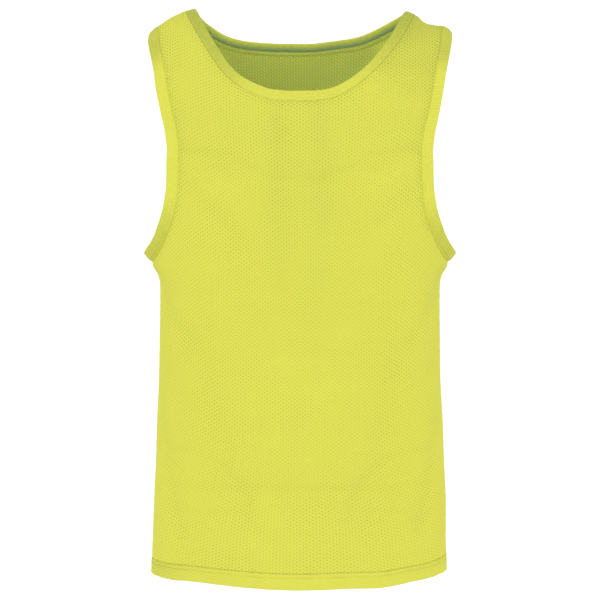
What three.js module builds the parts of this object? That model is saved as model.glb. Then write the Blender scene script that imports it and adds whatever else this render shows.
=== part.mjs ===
// Mesh training bib, filled out with no wearer. Millimetres, +Z up, front toward -Y.
// The origin lies between the shoulders, where the bib is held.
import * as THREE from 'three'

// Driving sizes
const HEM_LEVEL = -672 // lower edge at the side seams
const HEM_HEIGHT = 18.6 // turned-up hem
const CHEST_LEVEL = -264 // above this the body rounds over toward the shoulders
const RISE = 550 // length of the height scale from the chest level to the shoulder ridge
const CLOTH = 1.2 // wall of a single layer
const HEM_WALL = 2.6 // wall of the doubled hem
const HEM_RELIEF = 0.3 // the hem stands proud of the cloth above it
const SEAM_GAP = 0.35 // clear cut between neighbouring pieces
const NECK_BAND = 13.4 // width of the neck binding
const ARM_BAND = 15.2 // width of the armhole bindings
const BAND_HIGH = 1.3 // crown of a binding above the cloth
const BAND_LOW = -1.4 // inner face of a binding below the cloth's outer face
const SQUARENESS = 0.1 // fullness of the body section between front and side
const ACROSS = 10 // mesh steps from the centre line to the side seam
const TURN_MM = 2.9 // cloth length of one degree of turn

// Body sections from the hem up to the chest
const LEVELS = [
  { at: -672, half: 177.8, front: 95, back: 98 },
  { at: -632, half: 176.4, front: 97, back: 98 },
  { at: -584, half: 174.6, front: 99, back: 98 },
  { at: -536, half: 172.4, front: 101, back: 98 },
  { at: -488, half: 171.0, front: 104, back: 99 },
  { at: -440, half: 168.8, front: 107, back: 101 },
  { at: -392, half: 167.9, front: 110, back: 105 },
  { at: -344, half: 167.2, front: 113.5, back: 111 },
  { at: -300, half: 168.0, front: 116.5, back: 117 },
  { at: -264, half: 170.0, front: 118, back: 120 },
]

// Panel edges as degrees of turn from the centre line and steps on the height scale
const FRONT_NECKLINE = [
  [0, -89.8], [6.5, -88.7], [12.8, -83.6], [19, -68.7], [24.1, -50.1], [28.9, -25.3],
  [33.1, 6.1], [37, 44], [40.4, 93.2], [43.2, 172], [44.1, 284.6],
]
const BACK_NECKLINE = [
  [0, 52], [6.2, 52.5], [12.6, 54], [17.8, 58.5], [23, 67], [26.6, 76.5], [30.1, 88.5],
  [33.7, 104], [37.1, 124.5], [41, 158.5], [43.3, 205], [44.1, 284.6],
]
const FRONT_ARMHOLE = [
  [89.9, -300], [82, -297.5], [74.7, -291], [68, -279], [63, -265], [58.9, -250], [56, -233],
  [53.4, -199], [52.4, -156], [53, -124], [55.3, -86], [57.2, -44], [58.8, 18], [60, 83],
  [60, 142], [59.3, 194], [59, 284.6],
]
const BACK_ARMHOLE = [
  [89.9, -300], [82, -297.5], [75.5, -289], [69.5, -275], [65, -257], [61.5, -233],
  [59, -199], [58, -156], [58, -100], [58.8, -44], [59.5, 18], [60, 83], [60, 142],
  [59.3, 194], [59, 284.6],
]

// Degrees that an armhole binding leans out of the panel, by height on the scale
const ARM_LEAN = [
  { at: -300, front: 37, back: 37 },
  { at: -280, front: 32, back: 32 },
  { at: -240, front: 25, back: 22 },
  { at: -150, front: 20, back: 16 },
  { at: -50, front: 16, back: 12 },
  { at: 60, front: 8, back: 6 },
  { at: 180, front: -4, back: -4 },
  { at: 285, front: -22, back: -22 },
]

// Soft folds, the same on the left and on the right
const FOLDS = [
  { from: [9, -120], to: [8, -330], width: 13, front: 1.5, back: 1.2 },
  { from: [80, -318], to: [50, -392], width: 12, front: 2.2, back: 2.2 },
  { from: [47, -214], to: [26, -268], width: 13, front: 1.6, back: 1.4 },
  { from: [50, -150], to: [30, -186], width: 12, front: 1.2, back: 1.2 },
  { from: [74, -470], to: [54, -610], width: 16, front: 2.0, back: 2.2 },
  { from: [40, -430], to: [22, -600], width: 18, front: 1.2, back: 1.6 },
]

const rad = degrees => degrees * Math.PI / 180
const clamp = (value, low, high) => Math.min(high, Math.max(low, value))

// Smooth value between the rows of a table
function read(table, name, at) {
  const where = clamp(at, table[0].at, table.at(-1).at)
  let row = 0
  while (row < table.length - 2 && table[row + 1].at <= where) row += 1
  const slope = index => {
    const low = table[Math.max(index - 1, 0)]
    const high = table[Math.min(index + 1, table.length - 1)]
    return (high[name] - low[name]) / (high.at - low.at)
  }
  const span = table[row + 1].at - table[row].at
  const t = (where - table[row].at) / span
  const start = table[row][name]
  const end = table[row + 1][name]
  return (2 * t ** 3 - 3 * t ** 2 + 1) * start + (t ** 3 - 2 * t ** 2 + t) * span * slope(row)
    + (3 * t ** 2 - 2 * t ** 3) * end + (t ** 3 - t ** 2) * span * slope(row + 1)
}

// Height of the shoulder ridge: it rises to the neck, and the right strap sags in its middle
function ridge(x) {
  const rise = 12 - 5.64 * Math.log1p(Math.exp((Math.abs(x) - 118) / 12))
  const settle = 3.2 / (1 + Math.exp((x - 160) / 6)) / (1 + Math.exp((60 - x) / 12))
  return rise - settle - 6 * Math.exp(-(((x - 151) / 10) ** 2))
}

// The hem hangs a little lower at the right of the front and lifts at the right side seam
function hemSlope(x) {
  return 6 * Math.exp(-(((x - 180) / 22) ** 2)) - 3.6 * Math.exp(-(((x - 96) / 30) ** 2))
}

// The back neck stands a little higher toward one shoulder than toward the other
function backLift(x, raised) {
  const high = 10.5 * Math.exp(-(((x - 74) / 30) ** 2))
  return (high - 9.5 * Math.exp(-(((x + 88) / 30) ** 2))) * raised ** 8
}

// Depth of the soft folds at a place on a panel
function foldDepth(turn, level, name) {
  let depth = 0
  for (const fold of FOLDS) {
    const [fromTurn, fromLevel] = fold.from
    const along = [(fold.to[0] - fromTurn) * TURN_MM, fold.to[1] - fromLevel]
    const place = [(Math.abs(turn) - fromTurn) * TURN_MM, level - fromLevel]
    const size = along[0] ** 2 + along[1] ** 2
    const t = clamp((place[0] * along[0] + place[1] * along[1]) / size, 0, 1)
    const away = Math.hypot(place[0] - t * along[0], place[1] - t * along[1])
    depth += fold[name] * Math.exp(-((away / fold.width) ** 2))
  }
  return depth
}

// Outer face of a panel before folds, at a turn in degrees and a step on the height scale
function body(turn, level, name) {
  const [s, c] = [Math.sin(rad(turn)), Math.cos(rad(turn))]
  const climb = clamp((level - CHEST_LEVEL) / RISE, 0, 1)
  const raised = 1 - (1 - climb) ** 2
  const half = level < CHEST_LEVEL ? read(LEVELS, 'half', level) : 170 + 30 * climb ** 0.9
  const flare = 8.6 * Math.exp(-(((level + 300) / (level < -300 ? 12 : 70)) ** 2))
  const x = (half + flare * Math.abs(s) ** 10) * s
  const low = clamp((-400 - level) / 272, 0, 1) ** 2
  const dip = low * (3.1 * Math.sin(rad(2 * turn)) ** 2 - 4.3 * c ** 4 + hemSlope(x))
  const lift = name === 'back' ? backLift(x, raised) * (1 - raised ** 30) : 0
  const z = level < CHEST_LEVEL ? level + dip
    : CHEST_LEVEL + (ridge(x) - CHEST_LEVEL) * raised + lift
  const power = name === 'front' ? 1.6 : 2.2
  const depth = level < CHEST_LEVEL ? read(LEVELS, name, level)
    : LEVELS.at(-1)[name] * Math.sqrt(1 - raised ** power)
  const toward = name === 'front' ? -1 : 1
  return new THREE.Vector3(x, toward * depth * c * (1 + SQUARENESS * s * s), z)
}

// Direction out of the cloth
function outward(turn, level, name) {
  const top = Math.min(level + 0.5, CHEST_LEVEL + RISE)
  const side = body(turn + 0.1, level, name).sub(body(turn - 0.1, level, name))
  const up = body(turn, top, name).sub(body(turn, level - 0.5, name))
  return side.cross(up).multiplyScalar(name === 'front' ? 1 : -1).normalize()
}

// Outer face of a panel with its folds, moved out by a lift
function skin(turn, level, name, lift = 0) {
  const normal = outward(turn, level, name)
  return body(turn, level, name).addScaledVector(normal, lift - foldDepth(turn, level, name))
}

// Evenly spaced places along a smooth line through the places of an edge table
function spread(edge, name, count) {
  const points = edge.map(([turn, level]) => body(turn, level, name))
  let length = 0
  const table = edge.map(([turn, level], index) => {
    if (index > 0) length += points[index].distanceTo(points[index - 1])
    return { at: length, turn, level }
  })
  const fine = []
  for (let step = 0; step <= 400; step += 1) {
    const at = length * step / 400
    fine.push([read(table, 'turn', at), read(table, 'level', at)])
  }
  const marks = [0]
  for (let step = 1; step <= 400; step += 1) {
    const gap = body(...fine[step], name).distanceTo(body(...fine[step - 1], name))
    marks.push(marks.at(-1) + gap)
  }
  const places = []
  for (let step = 0; step <= count; step += 1) {
    const want = marks.at(-1) * step / count
    let row = 0
    while (row < 399 && marks[row + 1] < want) row += 1
    const t = clamp((want - marks[row]) / (marks[row + 1] - marks[row]), 0, 1)
    places.push(fine[row].map((value, axis) => value + t * (fine[row + 1][axis] - value)))
  }
  return places
}

// Part of an edge below or above a level, cut at its row
const upTo = (edge, level) => edge.slice(0, edge.findIndex(row => row[1] === level) + 1)
const from = (edge, level) => edge.slice(edge.findIndex(row => row[1] === level))

// Closed solid from outer and inner points that share one set of faces
function closedWall(outer, inner, faces) {
  const count = outer.length
  const triangles = []
  const edges = new Map()
  for (const [a, b, c] of faces) {
    triangles.push([a, b, c], [a + count, c + count, b + count])
    for (const [start, end] of [[a, b], [b, c], [c, a]]) edges.set(`${start} ${end}`, [start, end])
  }
  for (const [start, end] of edges.values()) {
    if (edges.has(`${end} ${start}`)) continue
    triangles.push([end, start, start + count], [end, start + count, end + count])
  }
  return solid([...outer, ...inner], triangles)
}

// Geometry whose faces look outward
function solid(points, triangles) {
  const volume = triangles.reduce((sum, [a, b, c]) =>
    sum + points[a].dot(points[b].clone().cross(points[c])), 0)
  const order = volume < 0 ? triangles.map(([a, b, c]) => [a, c, b]) : triangles
  const geometry = new THREE.BufferGeometry()
  const values = points.flatMap(point => point.toArray())
  geometry.setAttribute('position', new THREE.Float32BufferAttribute(values, 3))
  geometry.setIndex(order.flat())
  geometry.computeVertexNormals()
  return geometry
}

// Rungs of a panel: each runs from the centre line or neckline out to the side or armhole
function rungs(neckline, armhole, name, fork) {
  const hemTop = HEM_LEVEL + HEM_HEIGHT
  const rows = [HEM_LEVEL, HEM_LEVEL + 9, hemTop - 0.4, hemTop + 0.4].map(level =>
    ({ inner: [0, level], outer: [89.9, level], hem: level < hemTop }))
  const lower = 15
  for (let step = 1; step <= lower; step += 1) {
    const t = 1.12 * step / lower - 0.12 * (step / lower) ** 2
    rows.push({ inner: [0, hemTop + t * (-270 - hemTop)], outer: [89.9, hemTop + t * (-300 - hemTop)] })
  }
  const neckStart = neckline[0][1]
  const lowArm = spread(upTo(armhole, fork), name, 10)
  for (let step = 1; step <= 10; step += 1) {
    rows.push({ inner: [0, -270 + (neckStart + 270) * step / 10], outer: lowArm[step] })
  }
  const split = rows.length - 1
  const highArm = spread(from(armhole, fork), name, 14)
  const neck = spread(neckline, name, 14)
  for (let step = 1; step <= 14; step += 1) {
    rows.push({ inner: neck[step], outer: highArm[step] })
  }
  return { rows, split, armpit: 3 + lower }
}

// Part of a panel between two rungs. A rung that is cut through keeps half a gap.
function between(plan, first, last) {
  const rows = plan.rows.slice(first, last + 1)
  const moved = (row, lift) => ({
    inner: [row.inner[0], row.inner[1] + lift],
    outer: [row.outer[0], row.outer[1] + lift],
  })
  if (first > 0) rows[0] = moved(rows[0], SEAM_GAP / 2)
  if (last < plan.rows.length - 1) rows.push(moved(rows.pop(), -SEAM_GAP / 2))
  return { rows, split: plan.split - first }
}

// One part of a panel: two halves that share the centre line below the neckline
function panel({ rows, split }, name) {
  const [outer, inner, faces] = [[], [], []]
  const index = [new Map(), new Map()]
  rows.forEach((row, rowIndex) => {
    for (const half of [0, 1]) {
      for (let step = 0; step <= ACROSS; step += 1) {
        const key = rowIndex * 100 + step
        if (half === 1 && step === 0 && rowIndex <= split) {
          index[1].set(key, index[0].get(key))
          continue
        }
        const t = step / ACROSS
        const turn = (row.inner[0] + t * (row.outer[0] - row.inner[0])) * (half ? 1 : -1)
        const level = row.inner[1] + t * (row.outer[1] - row.inner[1])
        index[half].set(key, outer.length)
        outer.push(skin(turn, level, name, row.hem ? HEM_RELIEF : 0))
        inner.push(skin(turn, level, name, row.hem ? HEM_RELIEF - HEM_WALL : -CLOTH))
      }
    }
  })
  for (let row = 0; row < rows.length - 1; row += 1) {
    for (const half of [0, 1]) {
      for (let step = 0; step < ACROSS; step += 1) {
        const [a, b] = [row * 100 + step, row * 100 + step + 1].map(key => index[half].get(key))
        const [d, c] = [(row + 1) * 100 + step, (row + 1) * 100 + step + 1].map(key =>
          index[half].get(key))
        faces.push(...(half ? [[a, b, c], [a, c, d]] : [[a, c, b], [a, d, c]]))
      }
    }
  }
  return closedWall(outer, inner, faces)
}

// Section of a binding: share of the width and height over the cloth
const BAND_SECTION = [
  { across: 0, height: 0.4 },
  { across: 0.2, height: 0.8 * BAND_HIGH },
  { across: 0.5, height: BAND_HIGH },
  { across: 0.8, height: 0.8 * BAND_HIGH },
  { across: 1, height: 0.1 },
  { across: 0.97, height: 0.65 * BAND_LOW },
  { across: 0.5, height: BAND_LOW },
  { across: 0, height: BAND_LOW },
]

// Binding ring along a closed line of seam places
function binding(places, width, lean, away) {
  const seam = places.map(({ turn, level, name }) => skin(turn, level, name))
  const count = places.length
  const points = []
  places.forEach(({ turn, level, name }, index) => {
    const normal = outward(turn, level, name)
    const along = seam[(index + 1) % count].clone().sub(seam[(index + count - 1) % count])
    const flat = along.cross(normal).normalize()
    if (flat.dot(away(seam[index])) < 0) flat.negate()
    for (const { across, height } of BAND_SECTION) {
      // The edge at the seam stays in line with the panel, and the rest leans
      const tilt = across > 0 ? rad(lean(level, name)) : 0
      const [c, s] = [Math.cos(tilt), Math.sin(tilt)]
      const reach = SEAM_GAP + across * (width - SEAM_GAP)
      const point = seam[index].clone()
      point.addScaledVector(flat, reach * c - height * s)
      points.push(point.addScaledVector(normal, reach * s + height * c))
    }
  })
  const size = BAND_SECTION.length
  const triangles = []
  for (let row = 0; row < count; row += 1) {
    for (let step = 0; step < size; step += 1) {
      const next = (step + 1) % size
      const [a, b] = [row * size + step, row * size + next]
      const [d, c] = [a, b].map(value => (value + size) % (count * size))
      triangles.push([a, b, c], [a, c, d])
    }
  }
  return solid(points, triangles)
}

const frontPlan = rungs(FRONT_NECKLINE, FRONT_ARMHOLE, 'front', -199)
const backPlan = rungs(BACK_NECKLINE, BACK_ARMHOLE, 'back', -156)

// Seam places of the neck ring, once around
function neckPlaces() {
  const half = (plan, name, sign) => plan.rows.slice(plan.split).map(row =>
    ({ turn: sign * row.inner[0], level: row.inner[1], name }))
  return [
    ...half(frontPlan, 'front', 1).slice(0, -1),
    ...half(backPlan, 'back', 1).reverse(),
    ...half(backPlan, 'back', -1).slice(1),
    ...half(frontPlan, 'front', -1).reverse().slice(1, -1),
  ]
}

// Seam places of one armhole ring, once around
function armPlaces(sign) {
  const half = (plan, name) => plan.rows.slice(plan.armpit).map(row =>
    ({ turn: sign * row.outer[0], level: row.outer[1], name }))
  return [...half(frontPlan, 'front').slice(0, -1), ...half(backPlan, 'back').reverse().slice(0, -1)]
}

const intoNeck = point => new THREE.Vector3(-point.x, -point.y, 60)
const intoArm = sign => point => new THREE.Vector3(sign * 400, 0, -150).sub(point)

const cloth = new THREE.MeshStandardMaterial({ name: 'mesh cloth', color: 0xdede59, roughness: 0.8 })
const bandCloth = new THREE.MeshStandardMaterial({ name: 'band cloth', color: 0xdcdc58, roughness: 0.8 })

const bib = new THREE.Group()
bib.name = 'mesh_training_bib'
function add(name, geometry, material) {
  const mesh = new THREE.Mesh(geometry, material)
  mesh.name = name
  bib.add(mesh)
}

const armLean = (level, name) => read(ARM_LEAN, name, level)
// Each panel is one cloth, made as two solids that meet level with the armpits
for (const [name, plan] of [['front', frontPlan], ['back', backPlan]]) {
  add(`${name}_body`, panel(between(plan, 0, plan.armpit), name), cloth)
  add(`${name}_chest`, panel(between(plan, plan.armpit, plan.rows.length - 1), name), cloth)
}
add('neck_binding', binding(neckPlaces(), NECK_BAND, () => 0, intoNeck), bandCloth)
add('armhole_binding_left', binding(armPlaces(1), ARM_BAND, armLean, intoArm(1)), bandCloth)
add('armhole_binding_right', binding(armPlaces(-1), ARM_BAND, armLean, intoArm(-1)), bandCloth)

export default bib
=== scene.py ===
"""A fluorescent yellow mesh training bib, filled out as if worn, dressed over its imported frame.

Lengths are millimetres in the cloth's own sizes and metres in the meshes. The front faces -Y.
A place on the cloth is a turn in degrees from the centre line, and a level on the height scale.
"""

from __future__ import annotations

import logging
import math
from collections.abc import Callable
from dataclasses import dataclass, field
from enum import Enum

import bpy
import numpy as np
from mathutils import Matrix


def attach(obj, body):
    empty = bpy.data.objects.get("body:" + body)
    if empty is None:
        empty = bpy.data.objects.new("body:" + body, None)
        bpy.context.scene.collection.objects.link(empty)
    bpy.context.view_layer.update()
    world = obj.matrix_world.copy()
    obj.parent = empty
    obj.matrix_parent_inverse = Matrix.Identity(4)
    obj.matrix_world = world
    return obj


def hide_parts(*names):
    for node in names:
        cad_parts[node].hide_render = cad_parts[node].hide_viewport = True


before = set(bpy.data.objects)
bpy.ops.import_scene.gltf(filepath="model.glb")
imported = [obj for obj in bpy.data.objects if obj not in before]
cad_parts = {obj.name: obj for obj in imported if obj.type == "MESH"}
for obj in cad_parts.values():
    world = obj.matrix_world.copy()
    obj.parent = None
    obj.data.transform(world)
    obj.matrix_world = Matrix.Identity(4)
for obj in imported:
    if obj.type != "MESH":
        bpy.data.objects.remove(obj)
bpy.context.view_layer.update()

log = logging.getLogger("training_bib")
MM = 0.001
FAR = 1000.0
Array = np.ndarray
Place = tuple[float, float]
Colour = tuple[float, float, float]
Table = tuple[tuple[float, ...], ...]
Piece = bpy.types.Object
Material = bpy.types.Material
Socket = bpy.types.NodeSocket


class Side(Enum):
    """The two panels, by the way each faces along Y."""

    FRONT = -1
    BACK = 1

    @property
    def word(self) -> str:
        """The panel's name in the tables."""
        return self.name.lower()


# Curves and grids


def smooth_table(xs: Array, ys: Array, at: Array) -> Array:
    """Cubic through the rows of a table, with the slope at a row taken from its neighbours.

    Args:
        xs: rising places of the rows.
        ys: values at the rows.
        at: places to read, clipped to the table.

    Returns:
        The value at each place.
    """
    at = np.clip(at, xs[0], xs[-1])
    row = np.clip(np.searchsorted(xs, at, side="right") - 1, 0, len(xs) - 2)
    low = np.maximum(np.arange(len(xs)) - 1, 0)
    high = np.minimum(np.arange(len(xs)) + 1, len(xs) - 1)
    slope = (ys[high] - ys[low]) / (xs[high] - xs[low])
    span = xs[row + 1] - xs[row]
    t = (at - xs[row]) / span
    start = (2 * t**3 - 3 * t**2 + 1) * ys[row] + (t**3 - 2 * t**2 + t) * span * slope[row]
    end = (3 * t**2 - 2 * t**3) * ys[row + 1] + (t**3 - t**2) * span * slope[row + 1]
    return start + end


def bell(x: Array, centre: Array | float, width: Array | float) -> Array:
    """A bump of height 1 at the centre that falls off as exp(-(distance / width) squared)."""
    return np.exp(-(((x - centre) / width) ** 2))


def bells(x: Array, rows: Table) -> Array:
    """Sum of bells, given as rows of height, centre and width."""
    return sum(height * bell(x, centre, width) for height, centre, width in rows)


def ramp(x: Array, start: float, end: float) -> Array:
    """0 before the start, 1 past the end and straight between, either way round."""
    return np.clip((x - start) / (end - start), 0, 1)


def fall(x: Array, centre: float, width: float) -> Array:
    """A soft step from 1 down to 0: 1 over 1 plus exp((x - centre) / width)."""
    return 1 / (1 + np.exp((x - centre) / width))


def ripple(along: Array, pitch: float, seed: float) -> Array:
    """Uneven ripple from -1 to 1 made of three sines whose lengths have no common multiple.

    Args:
        along: lengths along the cloth.
        pitch: length of the highest of the waves.
        seed: shift that sets one ripple apart from another.

    Returns:
        The height at each length.
    """
    phase = 2 * np.pi * along / pitch
    # height, waves to a pitch and share of the seed
    sines = ((1, 1, 1), (0.6, 0.618, 2.1), (0.4, 1.731, 3.7))
    return sum(high * np.sin(rate * phase + shift * seed) for high, rate, shift in sines) / 2


def unit(vectors: Array) -> Array:
    """The vectors at length 1."""
    return vectors / np.maximum(np.linalg.norm(vectors, axis=-1, keepdims=True), 1e-12)


def lengths(line: Array) -> Array:
    """Length from the start of a line to each of its points."""
    return np.r_[0, np.cumsum(np.linalg.norm(np.diff(line, axis=0), axis=1))]


def nearest(points: Array, line: Array) -> tuple[Array, Array]:
    """Distance from each point to a fine line, and how far along the line its nearest mark is.

    Args:
        points: rows of x, y and z.
        line: marks along the line, close together.

    Returns:
        The distances and the lengths along the line.
    """
    marks = lengths(line)
    away, along = np.empty((2, len(points)))
    for start in range(0, len(points), 4000):
        block = slice(start, start + 4000)
        gap = np.linalg.norm(points[block, None] - line[None], axis=-1)
        away[block] = gap.min(1)
        along[block] = marks[gap.argmin(1)]
    return away, along


def cells(grid: Array) -> Array:
    """The four corners of each cell of a grid, in order round it.

    Args:
        grid: values or numbers of the points, by row and column.

    Returns:
        One entry of four corners for each cell.
    """
    corners = (grid[:-1, :-1], grid[:-1, 1:], grid[1:, 1:], grid[1:, :-1])
    return np.stack(corners, 2).reshape(-1, 4, *grid.shape[2:])


def ring_grid(rows: int, columns: int, first: int = 0) -> Array:
    """Numbers of the points of stacked rings, with the first column again after the last."""
    grid = first + np.arange(rows * columns).reshape(rows, columns)
    return np.pad(grid, ((0, 0), (0, 1)), mode="wrap")


def quad_area(points: Array, quads: Array) -> Array:
    """Area of each face as half the length of the cross product of its diagonals."""
    a, b, c, d = (points[quads[:, k]] for k in range(4))
    return np.linalg.norm(np.cross(c - a, d - b), axis=-1) / 2


def volume(points: Array, quads: Array) -> float:
    """Sum of the wedges from the middle to each face, below 0 if the faces turn inward."""
    a, b, c = (points[quads[:, k]] - points.mean(axis=0) for k in range(3))
    return float(np.sum(a * np.cross(b, c)))


# Shape of the filled-out bib

# millimetres of cloth to a degree of turn, about
TURN_MM = 2.9


@dataclass(frozen=True)
class Fold:
    """A soft trough along a straight line on the cloth, the same at the left and the right."""

    start: Place
    end: Place
    width: float
    front: float
    back: float

    def depth(self, turn: Array, level: Array, side: Side) -> Array:
        """Depth of the trough: the fold's own, times a bell of the distance to its line.

        Args:
            turn: degrees from the centre line.
            level: steps on the height scale.
            side: the panel.

        Returns:
            Millimetres inward at each place.
        """
        line = np.array([(self.end[0] - self.start[0]) * TURN_MM, self.end[1] - self.start[1]])
        across = (np.abs(turn) - self.start[0]) * TURN_MM
        up = level - self.start[1]
        t = np.clip((across * line[0] + up * line[1]) / (line @ line), 0, 1)
        away = np.hypot(across - t * line[0], up - t * line[1])
        return getattr(self, side.word) * bell(away, 0, self.width)


@dataclass(frozen=True)
class BodyForm:
    """The filled-out body: a section for each level, rounded over to the shoulder ridge."""

    hem_level: float = -672.0
    chest_level: float = -264.0
    rise: float = 550.0
    squareness: float = 0.1
    shoulder_half: float = 170.0
    shoulder_spread: float = 30.0
    armpit_flare: float = 8.6
    front_power: float = 1.6
    back_power: float = 2.2
    # level, half width, depth at the front, depth at the back
    levels: Table = (
        (-672, 177.8, 95, 98),
        (-632, 176.4, 97, 98),
        (-584, 174.6, 99, 98),
        (-536, 172.4, 101, 98),
        (-488, 171.0, 104, 99),
        (-440, 168.8, 107, 101),
        (-392, 167.9, 110, 105),
        (-344, 167.2, 113.5, 111),
        (-300, 168.0, 116.5, 117),
        (-264, 170.0, 118, 120),
    )
    # start and end as turn and level, width, depth at the front, depth at the back
    folds: tuple[Fold, ...] = (
        Fold((9, -120), (8, -330), 13, 1.5, 1.2),
        Fold((80, -318), (50, -392), 12, 2.2, 2.2),
        Fold((47, -214), (26, -268), 13, 1.6, 1.4),
        Fold((50, -150), (30, -186), 12, 1.2, 1.2),
        Fold((74, -470), (54, -610), 16, 2.0, 2.2),
        Fold((40, -430), (22, -600), 18, 1.2, 1.6),
    )
    # height, place across and width of each bump
    strap_sags: Table = ((6, 151, 10), (3.6, 165, 8), (3.2, -170, 10))
    hem_bumps: Table = ((6, 180, 22), (-3.6, 96, 30))
    back_bumps: Table = ((2.2, 45, 20), (2.6, 118, 22), (-3.3, -108, 38))
    back_neck_bumps: Table = ((10.5, 74, 30), (-9.5, -88, 30))

    @property
    def top_level(self) -> float:
        """The shoulder ridge on the height scale."""
        return self.chest_level + self.rise

    def ridge(self, x: Array) -> Array:
        """Height of the shoulder ridge: it rises to the neck, and both straps sag farther out."""
        rise = 12 - 5.64 * np.log1p(np.exp((np.abs(x) - 118) / 12))
        return rise - 3.2 * fall(x, 160, 6) * fall(-x, -60, 12) - bells(x, self.strap_sags)

    def dip(self, x: Array, turn: Array, level: Array) -> Array:
        """Bend of the lower body's levels, all of it at the hem and less above.

        A part goes as the squared sine of twice the turn, and less a part that goes as the cosine
        to the fourth, so that the hem is lowest in the middle. The bumps shift one corner.

        Args:
            x: places across.
            turn: degrees from the centre line.
            level: steps on the height scale.

        Returns:
            Millimetres upward at each place.
        """
        turn = np.radians(turn)
        bend = 3.1 * np.sin(2 * turn) ** 2 - 4.3 * np.cos(turn) ** 4 + bells(x, self.hem_bumps)
        return ramp(level, -400, self.hem_level) ** 2 * bend

    def lift(self, x: Array, turn: Array, level: Array, raised: Array, side: Side) -> Array:
        """Lift of the upper body's levels, where the neckline isn't even.

        Args:
            x: places across.
            turn: degrees from the centre line.
            level: steps on the height scale.
            raised: share of the way up to the ridge.
            side: the panel.

        Returns:
            Millimetres upward at each place.
        """
        if side is Side.FRONT:
            right = 3.2 * bell(turn, 25, 13) * bell(level, -35, 75)
            return right - 4.4 * bell(turn, -29, 12) * bell(level, -35, 80)
        lift = bells(x, self.back_neck_bumps) * raised**8 + bells(x, self.back_bumps) * raised
        return lift * (1 - raised**30)

    def point(self, turn: Array, level: Array, side: Side) -> Array:
        """Outer face before folds.

        Below the chest it is the section of the level: half width times the sine of the turn
        across, depth times the cosine toward the panel's side. Above, the depth shrinks as the
        root of 1 minus a power of the share of the way up, and reaches 0 at the ridge. The section
        flares at the armpits and is a little narrower at one side below them.

        Args:
            turn: degrees from the centre line.
            level: steps on the height scale.
            side: the panel.

        Returns:
            Rows of x, y and z.
        """
        turn, level = np.broadcast_arrays(np.asarray(turn, float), np.asarray(level, float))
        levels, halves, fronts, backs = np.array(self.levels).T
        s, c = np.sin(np.radians(turn)), np.cos(np.radians(turn))
        climb = ramp(level, self.chest_level, self.top_level)
        raised = 1 - (1 - climb) ** 2
        below = level < self.chest_level
        upper_half = self.shoulder_half + self.shoulder_spread * climb**0.9
        half = np.where(below, smooth_table(levels, halves, level), upper_half)
        reach = np.where(level < -300, 12.0, 70.0)
        flare = self.armpit_flare * bell(level, -300, reach)
        x = (half + flare * np.abs(s) ** 10) * s
        narrow = 2.0 * ramp(level, -580, -634) + 0.7 * bell(level, -430, 65)
        x = x - narrow * np.clip(s, 0, 1) ** 2
        domed = self.chest_level + (self.ridge(x) - self.chest_level) * raised
        domed = domed + self.lift(x, turn, level, raised, side)
        z = np.where(below, level + self.dip(x, turn, level), domed)
        is_front = side is Side.FRONT
        depths, power = (fronts, self.front_power) if is_front else (backs, self.back_power)
        upper_depth = depths[-1] * np.sqrt(np.clip(1 - raised**power, 0, 1))
        depth = np.where(below, smooth_table(levels, depths, level), upper_depth)
        y = side.value * depth * c * (1 + self.squareness * s * s)
        return np.stack([x, y, z], -1)

    def normal(self, turn: Array, level: Array, side: Side) -> Array:
        """Direction out of the cloth, from the cross product of two small steps on the face.

        Args:
            turn: degrees from the centre line.
            level: steps on the height scale.
            side: the panel.

        Returns:
            Rows of length 1.
        """
        low, high = np.asarray(level) - 0.5, np.minimum(np.asarray(level) + 0.5, self.top_level)
        step = self.point(turn + 0.1, level, side) - self.point(turn - 0.1, level, side)
        up = self.point(turn, high, side) - self.point(turn, low, side)
        return unit(np.cross(step, up)) * -side.value

    def fold_depth(self, turn: Array, level: Array, side: Side) -> Array:
        """Sum of the depths of the soft folds."""
        return sum(fold.depth(turn, level, side) for fold in self.folds)

    def skin(self, turn: Array, level: Array, side: Side, lift: float = 0.0) -> Array:
        """Outer face with its folds, moved out by a lift."""
        out = lift - self.fold_depth(turn, level, side)
        return self.point(turn, level, side) + self.normal(turn, level, side) * out[..., None]


@dataclass(frozen=True)
class Edge:
    """A cut edge of a panel as places on the form."""

    places: tuple[Place, ...]

    def parts(self, level: float) -> tuple[Edge, Edge]:
        """The part that ends and the part that starts at the row with this level."""
        row = [place[1] for place in self.places].index(level)
        return Edge(self.places[: row + 1]), Edge(self.places[row:])

    def spread(self, form: BodyForm, side: Side, count: int) -> Array:
        """Evenly spaced places along a smooth line through the rows.

        Args:
            form: the surface that the edge lies on.
            side: the panel.
            count: number of steps.

        Returns:
            An array of count + 1 rows of turn and level.
        """
        rows = np.array(self.places, float)
        marks = lengths(form.point(*rows.T, side))
        at = np.linspace(0, marks[-1], 801)
        fine = np.stack([smooth_table(marks, column, at) for column in rows.T], -1)
        marks = lengths(form.point(*fine.T, side))
        even = np.linspace(0, marks[-1], count + 1)
        return np.stack([np.interp(even, marks, column) for column in fine.T], -1)


FORM = BodyForm()
HEM_HEIGHT = 18.6
HEM_LINES = (18.2, 13.4)
STITCH = 2.9
STITCH_OFFSET = 1.5
SIDE_TURN = 89.95
ARMPIT_LEVEL = -300.0
CENTRE_LEVEL = -270.0

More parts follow.
